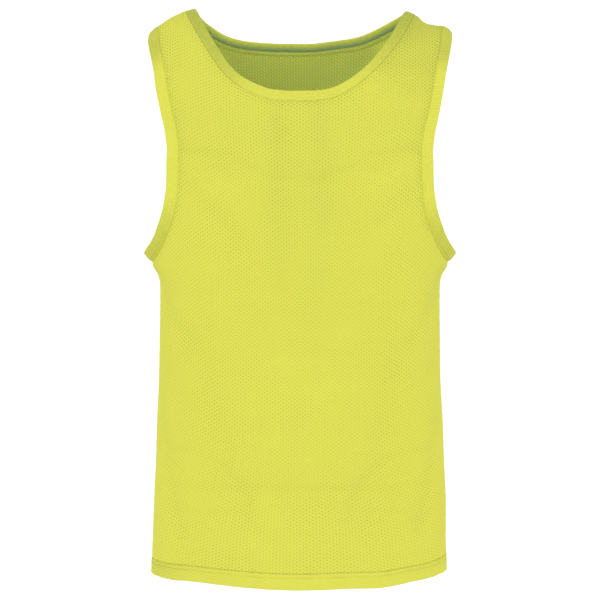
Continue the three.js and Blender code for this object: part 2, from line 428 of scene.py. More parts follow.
NECKLINES = {
    Side.FRONT: Edge((
        (0, -89.8), (6.5, -88.7), (12.8, -83.6), (19, -68.7), (24.1, -50.1), (28.9, -25.3),
        (33.1, 6.1), (37, 44), (40.4, 93.2), (43.2, 172), (44.1, 284.8),
    )),
    Side.BACK: Edge((
        (0, 52), (6.2, 52.5), (12.6, 54), (17.8, 58.5), (23, 67), (26.6, 76.5), (30.1, 88.5),
        (33.7, 104), (37.1, 124.5), (41, 158.5), (43.3, 205), (44.1, 284.8),
    )),
}
ARMHOLES = {
    Side.FRONT: Edge((
        (SIDE_TURN, -300), (82, -297.5), (74.7, -291), (68, -279), (63, -265), (58.9, -250),
        (56, -233), (53.4, -199), (52.4, -156), (53, -124), (55.3, -86), (57.2, -44),
        (58.8, 18), (60, 83), (60, 142), (59.3, 194), (59, 284.8),
    )),
    Side.BACK: Edge((
        (SIDE_TURN, -300), (82, -297.5), (75.5, -289), (69.5, -275), (65, -257), (61.5, -233),
        (59, -199), (58, -156), (58, -100), (58.8, -44), (59.5, 18), (60, 83), (60, 142),
        (59.3, 194), (59, 284.8),
    )),
}
# level on the armhole of the last row that starts on the centre line
FORKS = {Side.FRONT: -199.0, Side.BACK: -156.0}


def hem_share(turn: Array) -> Array:
    """How much of its height a step over the hem counts: the stitch lines rise at both seams."""
    return 1 - np.where(turn > 0, 0.13, 0.08) * ramp(np.abs(turn), 45, 90) ** 2


def over_hem(turn: Array, level: Array) -> Array:
    """Height over the hem's fold, on the scale of the stitch lines."""
    return (level - FORM.hem_level) * hem_share(turn)


# Meshes


@dataclass
class Build:
    """Points, faces and cloth coordinates of one piece, gathered before it is made a mesh.

    The cloth layer holds the knit's own millimetres. The place layer holds the distance from a
    sewn edge with the height over the hem, or on a band the distance from the seam with its
    painted shade. The shade layer holds painted shade, which the inner faces show as painted
    light, and how far the holes are pulled open.
    """

    points: Array
    faces: list[Array]
    layers: dict[str, Array] = field(default_factory=dict)
    materials: list[Array] = field(default_factory=list)

    def join(self, blocks: list[Array]) -> Array:
        """The entries of all blocks in one row."""
        return np.concatenate([block.ravel() for block in blocks])

    def with_layers(self, **values: Array) -> Build:
        """The same piece with layers whose values are given by point.

        Args:
            values: rows of two coordinates for each layer's name.

        Returns:
            The piece itself.
        """
        corners = self.join(self.faces)
        self.layers.update({name: rows[corners] for name, rows in values.items()})
        return self

    def make(self, name: str, finishes: list[Material], sharp: float = 50) -> Piece:
        """Puts the arrays into a new object at the origin.

        Args:
            name: the piece's name.
            finishes: its materials, by face material index.
            sharp: smallest angle between faces, in degrees, that is shaded as an edge.

        Returns:
            The object, linked to the scene.
        """
        used, corners = np.unique(self.join(self.faces), return_inverse=True)
        sizes = np.concatenate([np.full(len(block), block.shape[1]) for block in self.faces])
        starts = np.r_[0, np.cumsum(sizes)[:-1]]
        mesh = bpy.data.meshes.new(name)
        mesh.vertices.add(len(used))
        mesh.vertices.foreach_set("co", (self.points[used] * MM).astype(np.float32).ravel())
        mesh.loops.add(len(corners))
        mesh.loops.foreach_set("vertex_index", corners.astype(np.int32))
        mesh.polygons.add(len(sizes))
        mesh.polygons.foreach_set("loop_start", starts.astype(np.int32))
        if self.materials:
            kinds = self.join(self.materials).astype(np.int32)
            mesh.polygons.foreach_set("material_index", kinds)
        mesh.polygons.foreach_set("use_smooth", np.ones(len(sizes), bool))
        mesh.update(calc_edges=True)
        for layer, values in self.layers.items():
            uv = mesh.uv_layers.new(name=layer)
            uv.data.foreach_set("uv", values.astype(np.float32).ravel())
        mesh.set_sharp_from_angle(angle=math.radians(sharp))
        for finish in finishes:
            mesh.materials.append(finish)
        piece = bpy.data.objects.new(name, mesh)
        bpy.context.scene.collection.objects.link(piece)
        return piece


# Cloth coordinates


@dataclass(frozen=True)
class Grain:
    """Where the knit's columns and rows run on a panel, as millimetres of flat cloth.

    Across is the length round the section from the centre line, and up is the length from the
    hem, both from sums over a fine grid. The knit is stretched sideways near the hem and
    fans out a little toward the shoulders.
    """

    side: Side
    # level, columns per length across, rows per length up, both against the middle of the body,
    # and the share in which the cloth is stretched more toward the sides
    stretch: Table = (
        (-672, 0.78, 1.16, 0.95),
        (-640, 0.80, 1.16, 0.95),
        (-600, 0.83, 1.145, 0.95),
        (-560, 0.90, 1.09, 0.9),
        (-520, 0.965, 1.04, 0.75),
        (-486, 0.99, 1.02, 0.6),
        (-440, 1.0, 1.0, 0.45),
        (-344, 1.02, 0.97, 0.35),
        (-264, 1.0, 0.99, 0.3),
        (-213, 0.975, 1.01, 0.3),
        (-167, 0.94, 1.02, 0.3),
        (-120, 0.915, 1.03, 0.3),
        (-40, 0.90, 1.03, 0.3),
        (286, 0.90, 1.03, 0.0),
    )

    def coordinates(self, turn: Array, level: Array) -> tuple[Array, Array]:
        """Cloth millimetres across and up at places on the panel.

        Args:
            turn: degrees from the centre line.
            level: steps on the height scale.

        Returns:
            The lengths across, signed as the turn, and up.
        """
        turns = np.linspace(0, 90, 61)
        levels = np.linspace(FORM.hem_level, FORM.top_level, 240)
        grid = FORM.point(turns[None, :], levels[:, None], self.side)
        marks, *values = np.array(self.stretch).T
        columns, rows, share = (smooth_table(marks, value, levels)[:, None] for value in values)
        step_across = np.linalg.norm(np.diff(grid, axis=1), axis=-1)
        slant = np.clip(np.diff(grid[..., 0], axis=1) / step_across, 0.66, 1)
        step_across = step_across * (1 - share * (1 - slant))
        across = np.pad(np.cumsum(step_across, axis=1), ((0, 0), (1, 0))) * columns
        step_up = np.linalg.norm(np.diff(grid, axis=0), axis=-1) * rows[1:]
        up = np.pad(np.cumsum(step_up, axis=0), ((1, 0), (0, 0)))
        i = np.clip((level - levels[0]) / (levels[1] - levels[0]), 0, len(levels) - 1.001)
        j = np.clip(np.abs(turn) / turns[1], 0, len(turns) - 1.001)
        row, column = i.astype(int), j.astype(int)
        s, t = i - row, j - column

        def between(values: Array) -> Array:
            """Value between the four marks of the grid around each place.

            Args:
                values: values at the grid's marks.

            Returns:
                One value for each place.
            """
            low = values[row, column] * (1 - t) + values[row, column + 1] * t
            high = values[row + 1, column] * (1 - t) + values[row + 1, column + 1] * t
            return low * (1 - s) + high * s

        return between(across) * np.sign(turn), between(up)


# Shader helpers


def math_method(operation: str, swapped: bool = False) -> Callable[..., Value]:
    """A method that adds a Math node on the value and on the other value, if it is given one.

    Args:
        operation: the node's operation.
        swapped: whether the other value comes first.

    Returns:
        The method.
    """

    def method(self: Value, *others: Value | float) -> Value:
        """Adds the node.

        Args:
            others: the other value, or nothing.

        Returns:
            The node's result.
        """
        values = (*others, self) if swapped else (self, *others)
        node = self.nodes.add("ShaderNodeMath", {"operation": operation}, dict(enumerate(values)))
        return Value(self.nodes, node.outputs[0])

    return method


class Value:
    """A shader socket that takes part in Python arithmetic by adding Math nodes."""

    __add__ = __radd__ = math_method("ADD")
    __sub__ = math_method("SUBTRACT")
    __rsub__ = math_method("SUBTRACT", swapped=True)
    __mul__ = __rmul__ = math_method("MULTIPLY")
    __truediv__ = math_method("DIVIDE")
    least = math_method("MINIMUM")
    most = math_method("MAXIMUM")
    size = math_method("ABSOLUTE")
    root = math_method("SQRT")
    sine = math_method("SINE")
    fraction = math_method("FRACT")

    def __init__(self, nodes: Nodes, socket: Socket) -> None:
        """Wraps an output socket of a tree."""
        self.nodes = nodes
        self.socket = socket

    def cell(self, pitch: float) -> Value:
        """Distance from the nearest mark of a row of marks one pitch apart."""
        return ((self / pitch + 0.5).fraction() - 0.5) * pitch

    def share(self) -> Value:
        """The value held between 0 and 1."""
        return self.most(0.0).least(1.0)

    def wave(self) -> Value:
        """A sine from 0 to 1 that repeats each time the value grows by 1."""
        return (self * (2 * math.pi)).sine() * 0.5 + 0.5

    def fade(self, low: float, high: float) -> Value:
        """A smooth step, either way round.

        Args:
            low: where it is 0.
            high: where it is 1.

        Returns:
            The step.
        """
        settings = {"interpolation_type": "SMOOTHSTEP"}
        sockets = {"Value": self, "From Min": min(low, high), "From Max": max(low, high)}
        node = self.nodes.add("ShaderNodeMapRange", settings, sockets)
        rising = Value(self.nodes, node.outputs["Result"])
        return rising if low < high else 1 - rising


class Nodes:
    """The node tree of one material."""

    def __init__(self, name: str) -> None:
        """Makes a new material with an empty tree.

        Args:
            name: the material's name.
        """
        self.material = bpy.data.materials.new(name)
        self.material.use_nodes = True
        self.tree = self.material.node_tree
        self.tree.nodes.clear()

    def add(
        self, kind: str, settings: dict | None = None, sockets: dict | None = None
    ) -> bpy.types.Node:
        """Adds one node.

        Args:
            kind: the node's type.
            settings: its own settings, set first.
            sockets: values or links of its inputs, by name or number.

        Returns:
            The node.
        """
        node = self.tree.nodes.new(kind)
        for name, value in (settings or {}).items():
            setattr(node, name, value)
        for key, value in (sockets or {}).items():
            if isinstance(value, Value):
                value = value.socket
            if isinstance(value, Socket):
                self.tree.links.new(value, node.inputs[key])
            else:
                node.inputs[key].default_value = value
        return node

    def layer(self, name: str) -> tuple[Value, Value]:
        """The two coordinates of one of the piece's own UV maps.

        Args:
            name: the map's name.

        Returns:
            The first and the second coordinate.
        """
        uv = self.add("ShaderNodeUVMap", {"uv_map": name})
        parts = self.add("ShaderNodeSeparateXYZ", None, {0: uv.outputs["UV"]})
        return Value(self, parts.outputs["X"]), Value(self, parts.outputs["Y"])

    def noise(self, scale: float, detail: float = 2.0, upright: float = 1.0) -> Value:
        """Noise from 0 to 1 in the object's own space.

        Args:
            scale: cycles per metre.
            detail: octaves.
            upright: how many times finer it is upward than sideways.

        Returns:
            The noise.
        """
        place = self.add("ShaderNodeTexCoord").outputs["Object"]
        stretch = (scale, scale, scale * upright)
        place = self.add("ShaderNodeVectorMath", {"operation": "MULTIPLY"}, {0: place, 1: stretch})
        sockets = {"Vector": place.outputs[0], "Scale": 1.0, "Detail": detail}
        return Value(self, self.add("ShaderNodeTexNoise", None, sockets).outputs["Fac"])

    def mix(self, factor: Value, low: Colour | Socket, high: Colour) -> Socket:
        """A colour between two.

        Args:
            factor: 0 at the first colour and 1 at the second.
            low: the first colour, or the socket that gives it.
            high: the second colour.

        Returns:
            The colour's socket.
        """
        first = low if isinstance(low, Socket) else (*low, 1)
        sockets = {0: factor, 6: first, 7: (*high, 1)}
        return self.add("ShaderNodeMix", {"data_type": "RGBA"}, sockets).outputs[2]

    def surface(
        self, colour: Socket, height: Value, relief: float, roughness: float = 0.9
    ) -> Material:
        """Joins colour and relief in one matt cloth shader.

        Args:
            colour: base colour.
            height: relief from 0 to 1.
            relief: height of the relief in metres.
            roughness: roughness, the same all over.

        Returns:
            The finished material.
        """
        sockets = {"Height": height, "Strength": 1.0, "Distance": relief}
        bump = self.add("ShaderNodeBump", None, sockets)
        sockets = {
            "Base Color": colour,
            "Normal": bump.outputs["Normal"],
            "Roughness": roughness,
            "Specular IOR Level": 0.12,
        }
        shader = self.add("ShaderNodeBsdfPrincipled", None, sockets)
        self.add("ShaderNodeOutputMaterial", None, {"Surface": shader.outputs["BSDF"]})
        return self.material


# Finishes

PITCH = (6.17, 4.44)
LOOPS_TO_PITCH = 6


def distance_to_hole(across: Value, up: Value) -> Value:
    """Distance to the nearest hole of two grids, each in the middle of the other's cells.

    Args:
        across: cloth millimetres across.
        up: cloth millimetres up.

    Returns:
        The distance in cloth millimetres.
    """

    def grid(shift: float) -> Value:
        """Distance to the nearest mark of one grid.

        Args:
            shift: how far the grid is moved, as a share of the pitches.

        Returns:
            The distance.
        """
        x = (across + shift * PITCH[0]).cell(PITCH[0])
        y = (up + shift * PITCH[1]).cell(PITCH[1])
        return (x * x + y * y).root()

    return grid(0.0).least(grid(0.5))


@dataclass(frozen=True)
class MeshKnit:
    """Knitted mesh: staggered pin holes, closed by fuzz, between upright ribs of loops.

    From outside the holes are painted darker, as painted shade of the inside seen through them;
    from inside they take light from outside and are painted as the brighter part. The hollows
    between loops and ribs, the seams' grooves and the hem's stitch lines carry painted shade.
    The turned-up hem is double, so its holes hardly show.
    """

    name: str
    cloth: Colour
    hole: Colour
    seam: Colour
    seam_reach: float
    seam_strength: float = 0.3
    hem_lines: float = 0.0
    depth: float = 0.72
    base: float = 0.0
    rib_depth: float = 0.0
    radius: float = 0.5
    relief: float = 0.0003

    def make(self) -> Material:
        """Builds the material from the cloth's own coordinates.

        Returns:
            The material.
        """
        nodes = Nodes(self.name)
        across, up = nodes.layer("cloth")
        edge, over = nodes.layer("place")
        shade, opened = nodes.layer("shade")
        wander = (nodes.noise(260, 1) - 0.5) * 0.8
        across, up = across + wander, up + wander * 0.5
        size = self.radius * (0.7 + 0.35 * nodes.noise(170, 1) + 0.3 * opened)
        # painted holes: darker outside as painted shade of the inside seen through them, lighter
        # inside as painted light coming through
        pit = (distance_to_hole(across, up) - size).fade(0.4, -0.2)
        single = over.fade(HEM_HEIGHT - 0.5, HEM_HEIGHT + 0.3)
        # the hem's hidden layer shows fainter painted holes
        behind = distance_to_hole(across + 1.5, up + 0.7).fade(1.0, 0.2)
        patches = (nodes.noise(24, 2) - 0.45) * 1.5
        depth = (self.depth + opened + patches).most(0.2) * (0.5 + nodes.noise(320, 1))
        holes = pit * depth * (0.3 + 0.7 * single)
        holes = holes + behind * (1 - single) * (0.08 + 0.35 * opened)
        loops, ribs = self.loops(across, up), self.ribs(nodes, across, up)
        broad = (nodes.noise(8, 3) - 0.5) * 0.07 + (nodes.noise(5, 2, 9.0) - 0.5) * 0.08
        broad = broad + (nodes.noise(420, 2) - 0.5) * 0.12
        # painted holes, painted shade between the loops and in the ribs, random tone and the shade
        # layer's painted shade
        tone = holes + (1 - loops) * 0.06 + broad + shade + self.base - ribs * self.rib_depth
        # painted shade in the grooves of the hem's stitch lines, the lower one deeper where there
        # is more painted shade
        upper = (over - HEM_LINES[0] - 0.3).size().fade(1.1, 0.2) * 0.42
        lower = (over - HEM_LINES[1]).size().fade(0.9, 0.1) * (shade.most(0.0) * 1.5 + 0.12)
        tone = tone + (upper + lower) * (0.5 + nodes.noise(60, 2)) * self.hem_lines
        colour = nodes.mix(tone.share(), self.cloth, self.hole)
        # painted shade in the groove along the seams
        colour = nodes.mix(edge.fade(self.seam_reach, 0.0) * self.seam_strength, colour, self.seam)
        height = (1 - pit) * 0.6 + loops * 0.25 + ribs * 0.15
        return nodes.surface(colour, height, self.relief)

    def loops(self, across: Value, up: Value) -> Value:
        """Knitted loops: a sine up the cloth whose phase falls off to each side of a column.

        Args:
            across: cloth millimetres across.
            up: cloth millimetres up.

        Returns:
            Height from 0 to 1.
        """
        column, row = (pitch / LOOPS_TO_PITCH for pitch in PITCH)
        lean = across.cell(column).size() / column
        return (up / row - lean * 1.3).wave()

    def ribs(self, nodes: Nodes, across: Value, up: Value) -> Value:
        """Upright ribs, two to a pitch, with a scale beside each hole, which the inside paints as
        the hole's shadow.

        Args:
            nodes: the material's tree.
            across: cloth millimetres across.
            up: cloth millimetres up.

        Returns:
            Height, 0 between the ribs.
        """
        upright = (across.cell(PITCH[0] / 2).size() / (PITCH[0] / 4)).fade(0.0, 1.0)
        scale = distance_to_hole(across + 1.2, up + 0.8).fade(1.7, 0.5)
        return (upright * 0.45 + scale) * (0.4 + 1.2 * nodes.noise(55, 2))


@dataclass(frozen=True)
class BandKnit:
    """Folded binding of the same mesh: faint closed holes under a fine slanting rib.

    The tone layer adds painted shade where the band stands away from the light. The pins, the
    hollows of the rib, the groove and the needle punctures carry painted shade. Inside, painted
    shade falls toward the groove, and outside a painted highlight runs along a ridge by the seam.
    """

    name: str
    cloth: Colour
    shade: Colour
    seam: Colour
    groove: Place = (0.0, 1.0)
    groove_strength: float = 0.25
    fall: float = 0.0
    pins: float = 0.2
    fine: float = 1.0
    crest_highlight: float = 0.12
    punctures: float = 0.6
    rib_pitch: float = 2.5
    relief: float = 0.00016

    def make(self) -> Material:
        """Builds the material from lengths along and across the band.

        Returns:
            The material.
        """
        nodes = Nodes(self.name)
        along, across = nodes.layer("cloth")
        edge, tone = nodes.layer("place")
        wander = (nodes.noise(180, 1) - 0.5) * 0.8
        slant = along * 0.82 + across * 0.57 + wander
        cross = across * 0.82 - along * 0.57 + wander
        rib = (slant / self.rib_pitch).wave()
        pin = distance_to_hole(slant * self.fine, cross * self.fine).fade(1.1, 0.2)
        # painted shade in the pins and between the ribs, random tone, and the tone layer's painted
        # shade
        dark = pin * (self.pins + 0.6 * (nodes.noise(30, 2) - 0.4)).most(0.0)
        dark = dark + (1 - rib) * 0.28 * nodes.noise(40, 2) + (nodes.noise(10, 3) - 0.5) * 0.08
        dark = dark + (nodes.noise(300, 3) - 0.5) * 0.45 + tone
        # painted shade falling from the fold toward the groove
        dark = dark + edge.fade(13.0, 4.0) * self.fall
        # painted highlight along a ridge 2.4 mm from the seam
        crest_highlight = (edge - 2.4).size().fade(1.2, 0.0) * self.crest_highlight
        colour = nodes.mix((dark - crest_highlight).share(), self.cloth, self.shade)
        middle, reach = self.groove
        # painted shadow in the groove, broken into streaks, and painted shade in the needle
        # punctures
        streaks = (nodes.noise(110, 2, 3.0) * 1.9).most(0.5).least(1.0)
        line = (edge - middle).size().fade(reach, 0.0) * self.groove_strength * streaks
        x, y = along.cell(STITCH), edge - STITCH_OFFSET
        puncture = (x * x + y * y).root().fade(0.75, 0.25) * self.punctures
        colour = nodes.mix(line.most(puncture), colour, self.seam)
        return nodes.surface(colour, (1 - pin) * 0.4 + rib * 0.6, self.relief)


@dataclass(frozen=True)
class Thread:
    """Sewing thread: two plies twisted round each other."""

    name: str
    colour: Colour
    shade: Colour

    def make(self) -> Material:
        """Builds the material from lengths along and round the stitch.

        Returns:
            The material.
        """
        nodes = Nodes(self.name)
        along, around = nodes.layer("cloth")
        twist = (along * 1.6 + around).wave()
        # painted shade between the twisted plies, and random tone
        dark = (1 - twist) * 0.4 + (nodes.noise(400, 2) - 0.5) * 0.3
        colour = nodes.mix(dark.share(), self.colour, self.shade)
        return nodes.surface(colour, twist, 0.00008, 0.7)


@dataclass(frozen=True)
class PaleFloor:
    """Matt pale studio floor with a barely seen cloudiness."""

    name: str = "pale_floor"
    low: Colour = (0.80, 0.80, 0.80)
    high: Colour = (0.86, 0.86, 0.86)

    def make(self) -> Material:
        """Builds the material.

        Returns:
            The material.
        """
        nodes = Nodes(self.name)
        cloud = nodes.noise(1.2, 3)
        return nodes.surface(nodes.mix(cloud, self.low, self.high), cloud, 0.0002)


# Cloth colours: the two yellows are the cloth's own. The olives, the inner green and the seam
# colours are painted shade, the teal is a painted shadow, and the lit colours are painted light.
YELLOW = (0.66, 0.655, 0.083)
SHADE_OLIVE = (0.30, 0.345, 0.056)
SHADED_INNER = (0.44, 0.52, 0.125)
TEAL_SHADOW = (0.175, 0.33, 0.20)
BAND_YELLOW = (0.65, 0.645, 0.083)
SEAM_SHADE = (0.45, 0.47, 0.07)
BAND_SEAM_SHADE = (0.42, 0.45, 0.07)
LIT_HOLE = (0.84, 0.87, 0.10)
LIT_BAND = (0.93, 0.94, 0.10)
BAND_SHADE_OLIVE = (0.35, 0.42, 0.10)

# outer faces: painted shade in the holes, the seams' grooves and the hem's stitch lines
OUTSIDE = MeshKnit("mesh_outside", YELLOW, SHADE_OLIVE, SEAM_SHADE, seam_reach=0.6, hem_lines=1.0)
# inner faces: a darker, greener copy of the cloth as painted shade, painted light in the holes and
# all over by the base share, painted shade in the ribs, and a teal painted shadow by the seams
INSIDE = MeshKnit(
    "mesh_inside", SHADED_INNER, LIT_HOLE, TEAL_SHADOW,
    seam_reach=1.6, seam_strength=0.8, depth=0.75, base=0.30, rib_depth=0.24,
)
# bands outside: painted shade from the tone layer, the seam's groove and the needle punctures, and
# a painted highlight along a ridge
BAND = BandKnit("binding_outside", BAND_YELLOW, SHADE_OLIVE, BAND_SEAM_SHADE)
# bands inside: painted light on the fold, painted shade falling toward the groove and a teal
# painted shadow in it
BAND_IN = BandKnit(
    "binding_inside", LIT_BAND, BAND_SHADE_OLIVE, TEAL_SHADOW,
    groove=(3.0, 6.6), groove_strength=0.95, fall=0.42, pins=0.9, fine=1.7, crest_highlight=0.0,
    punctures=0.0,
)
YARN = Thread("thread", YELLOW, SHADE_OLIVE)


# Panels


@dataclass(frozen=True)
class Patch:
    """A soft spot on a panel: a bell across times a bell up, at one side or mirrored."""

    strength: float
    x: float
    width: float
    z: float
    reach: float
    mirrored: bool = False

    def at(self, x: Array, z: Array) -> Array:
        """Its strength at each place."""
        x = np.abs(x) if self.mirrored else x
        return self.strength * bell(x, self.x, self.width) * bell(z, self.z, self.reach)


@dataclass
class Panel:
    """Front or back panel with its turned-up hem, one closed wall of cloth."""

    side: Side
    across: int = 56
    cloth: float = 0.7
    hem_wall: float = 1.7
    hem_relief: float = 0.3
    area: float = 0.0
    flat: Place = (0.0, 0.0)
    # strength, place across, width, place up, reach up and down, and whether it is on both sides
    # the chest patch and the front shade patches are painted shade, or painted light below 0; the
    # pulls open the holes, or close them below 0
    chest: Patch = Patch(0.11, 0, 70, -215, 70)
    front_marks: tuple[Patch, ...] = (
        Patch(0.05, -25, 9, -138, 34),
        Patch(0.05, 21, 9, -138, 34),
        Patch(0.04, 36, 16, -250, 16, True),
        Patch(0.03, 100, 40, -587, 4, True),
        Patch(0.04, 20, 60, -335, 60),
        Patch(-0.07, 136, 14, -368, 28, True),
    )
    front_pulls: tuple[Patch, ...] = (
        Patch(0.3, -75, 30, -650, 26),
        Patch(-0.75, -118, 24, -42, 44),
    )

    def rows(self) -> tuple[Array, Array, int]:
        """Inner and outer end of each row of the grid.

        A row runs from the centre line or neckline out to the side seam or armhole.

        Returns:
            The inner places, the outer places and the last row on the centre line.
        """
        hem = FORM.hem_level
        neck, arm = NECKLINES[self.side], ARMHOLES[self.side]
        edge = hem + 2.4 * np.linspace(0, 1, 9) ** 2
        band = np.linspace(hem + 3.0, hem + HEM_HEIGHT + 2.4, 38)
        share = np.linspace(0, 1, 91)[1:]
        centre, out = (
            np.r_[edge, band, band[-1] + share * (end - band[-1])]
            for end in (CENTRE_LEVEL, ARMPIT_LEVEL)
        )
        share = np.linspace(0, 1, 37)[1:]
        centre = np.r_[centre, CENTRE_LEVEL + (neck.places[0][1] - CENTRE_LEVEL) * share]
        inner = [np.stack([0 * centre, centre], -1), neck.spread(FORM, self.side, 60)[1:]]
        outer = [np.stack([0 * out + SIDE_TURN, out], -1)]
        for part, count in zip(arm.parts(FORKS[self.side]), (36, 60)):
            outer.append(part.spread(FORM, self.side, count)[1:])
        return np.concatenate(inner), np.concatenate(outer), len(centre) - 1

    def relief(self, points: Array, turn: Array, level: Array) -> tuple[Array, Array, Array]:
        """Lift of the outer face, lift of the inner face and distance from a sewn edge.

        The cloth dips at each seam, swells over the seam allowance beside it and puckers along
        it. The hem stands proud, with a groove at each stitch line and ripples between them.

        Args:
            points: outer face without relief.
            turn: degrees from the centre line.
            level: steps on the height scale.

        Returns:
            Three arrays, in millimetres.
        """
        lift = np.zeros(len(points))
        edge = np.full(len(points), FAR)
        for edges, seed in ((NECKLINES, 0.4), (ARMHOLES, 1.9)):
            line = edges[self.side].spread(FORM, self.side, 240)
            away, along = np.zeros((2, len(points)))
            for sign in (-1, 1):
                half = turn * sign >= 0
                marks = FORM.point(line[:, 0] * sign, line[:, 1], self.side)
                away[half], along[half] = nearest(points[half], marks)
            wave = ripple(along + 40 * (points[:, 0] > 0), 9.0, seed)
            lift += 0.3 * bell(away, 3.0, 2.2) - 0.2 * bell(away, 0, 1.0)
            lift += 0.28 * wave * bell(away, 3.5, 4.5)
            edge = np.minimum(edge, away)
        seams = self.seam_distance(points, level)
        lift += -0.5 * bell(seams, 0, 1.3) + 0.3 * bell(seams, 3.5, 2.4)
        lift += 0.22 * ripple(level, 11.0, 0.7) * bell(seams, 3, 5) * (level < ARMPIT_LEVEL)
        edge = np.minimum(edge, seams + 0.35)
        over = over_hem(turn, level)
        band = fall(over, HEM_HEIGHT, 0.25)
        pucker = ripple(turn * TURN_MM, 12.0, 1.1) * bell(over, 16, 5.5) * 0.26
        pucker += ripple(turn * TURN_MM, 31.0, 2.3) * np.exp(-over / 16) * 0.6
        upper, lower = (bell(over, line, 0.8) for line in HEM_LINES)
        grooves = upper + 0.55 * lower
        rounding = 0.75 * ramp(over, 1.4, 0) ** 2
        outer = lift + pucker + self.hem_relief * band - 0.34 * grooves - rounding
        wall = self.cloth + (self.hem_wall - self.cloth) * band
        inner = lift + pucker - wall + 0.2 * grooves + rounding
        return outer, inner, edge

    def seam_distance(self, points: Array, level: Array) -> Array:
        """Distance to the side seam below the armhole, or to the shoulder seam on the ridge."""
        beside_seam = (level < ARMPIT_LEVEL + 5) | (level > 0)
        return np.where(beside_seam, np.abs(points[:, 1]), FAR)

    def build(self) -> Piece:
        """Lays out the grid, lifts it, closes it into a wall and makes the mesh.

        Returns:
            The panel as one piece. Its flat size and area are kept.
        """
        inner, outer, split = self.rows()
        share = np.linspace(0, 1, self.across + 1)[None, :, None]
        places = inner[:, None] + share * (outer - inner)[:, None]
        size = places[..., 0].size
        left, right = (np.arange(size).reshape(places.shape[:2]) + k * size for k in (0, 1))
        right[: split + 1, 0] = left[: split + 1, 0]
        turn, level = np.concatenate([places * [-1, 1], places]).reshape(-1, 2).T
        base = FORM.skin(turn, level, self.side)
        base[:, 2] += self.corner_wave(base[:, 0], level)
        normal = FORM.normal(turn, level, self.side)
        out, back, edge = self.relief(base, turn, level)
        halves = [cells(left), cells(right)]
        turned = 0 if self.side is Side.FRONT else 1
        halves[turned] = halves[turned][:, [0, 3, 2, 1]]
        quads = np.concatenate(halves)
        count = len(turn)
        faces = [quads, quads[:, ::-1] + count, self.rim(quads, count)]
        points = np.concatenate([base + normal * out[:, None], base + normal * back[:, None]])
        across, up = Grain(self.side).coordinates(turn, level)
        # outside cloth on the outer face and the rim, inside cloth on the inner face
        kinds = [np.full(len(block), kind) for block, kind in zip(faces, (0, 1, 0))]
        layers = {
            "cloth": (across, up),
            "place": (edge, over_hem(turn, level)),
            "shade": self.shade(base, turn, level, edge),
        }
        layers = {name: np.tile(np.stack(pair, -1), (2, 1)) for name, pair in layers.items()}
        self.area = float(np.sum(quad_area(points, quads))) * MM * MM
        self.flat = (2 * float(across.max()) * MM, float(up.max()) * MM)
        build = Build(points, faces, materials=kinds).with_layers(**layers)
        return build.make(f"{self.side.word}_mesh_panel", [OUTSIDE_CLOTH, INSIDE_CLOTH])

    def shade(self, points: Array, turn: Array, level: Array, edge: Array) -> tuple[Array, Array]:
        """Painted shade on the cloth, and how far its holes are pulled open.

        Args:
            points: outer face.
            turn: degrees from the centre line.
            level: steps on the height scale.
            edge: distances from a sewn edge.

        Returns:
            The two shares, more in folds, beside seams and on the strap that turns inward: the
            painted shade, which the inner face shows as painted light, and the opening.
        """
        x, y, z = points.T
        aside = np.abs(x)
        over = over_hem(turn, level)
        in_hem = over < HEM_HEIGHT
        fold = FORM.fold_depth(turn, level, self.side)
        strap, left = (ramp(x * sign, 80, 100) * ramp(z, -118, -68) for sign in (1, -1))
        crown = ramp(z, -52, -18) * ramp(x, 80, 100) * (0.5 + bell(x, 118, 20))
        beside = bell(edge, 0, 9) * (level > -262)
        low = ramp(level, -400, -600) * ramp(np.abs(turn), 0, 60)
        corner = 0.8 * bell(x, -168, 26) * in_hem * (y < 0)
        ends = ramp(over, 3, 11) * ramp(aside, 70, 150) * in_hem
        # painted shade in folds, on both straps and the right strap's top, beside seams, at the
        # hem's corner and ends and over the chest; painted light low at the sides and in the middle
        # of the hem
        shade = 0.015 * fold + 0.21 * strap + 0.08 * left + 0.22 * crown
        shade += 0.06 * beside - 0.03 * low + 0.14 * corner
        shade += 0.09 * ends - 0.035 * bell(x, 0, 90) * in_hem
        shade += self.chest.at(x, z)
        opened = 0.15 * fold + 0.3 * strap + 0.3 * left + 0.2 * beside - 0.14 * low
        opened += 0.4 * bell(edge, 3, 2.5) + corner + 0.4 * ends * (x > 0)
        if self.side is Side.BACK:
            # painted light on the back's upper sides, which the inner face shows as painted shade
            shade -= 0.06 * ramp(aside, 55, 80) * ramp(z, -130, -70)
        else:
            shade += self.creases(x, z)
            opened += sum(patch.at(x, z) for patch in self.front_pulls)
        return shade, opened

    def creases(self, x: Array, z: Array) -> Array:
        """Painted shade of faint folds and crease lines on the front, as a share of darkening.

        Two furrows run down below the neck, a brow arches over each side of the chest, a quarter
        ring lies over each hip, and a pressed line crosses the belly, all in painted shade. The
        chest above them has more painted shade, and the flanks under the arms catch painted light.

        Args:
            x: places across.
            z: heights.

        Returns:
            One share for each place, below 0 where the cloth is lighter.
        """
        aside = np.abs(x)
        brow = bell(z, -205 + 34 * fall(-aside, -62, 12), 5) * (aside < 140)
        hip = bell(np.hypot(aside - 135, z + 598), 81, 5) * (z > -600) * (aside < 150)
        lines = 0.05 * (brow + hip + bell(z, -558, 4)) + 0.075 * bell(z, -134, 36)
        flank = 0.03 * ramp(aside, 140, 152) * ramp(z, -430, -470)
        return lines - flank + sum(patch.at(x, z) for patch in self.front_marks)

    def corner_wave(self, x: Array, level: Array) -> Array:
        """Lift of the front hem at one corner and the dip beside it, gone 60 mm up."""
        share = np.exp(-(level - FORM.hem_level) / 25) * (self.side is Side.FRONT)
        return share * bells(x, ((1.7, -176, 11), (-1.0, -147, 9)))

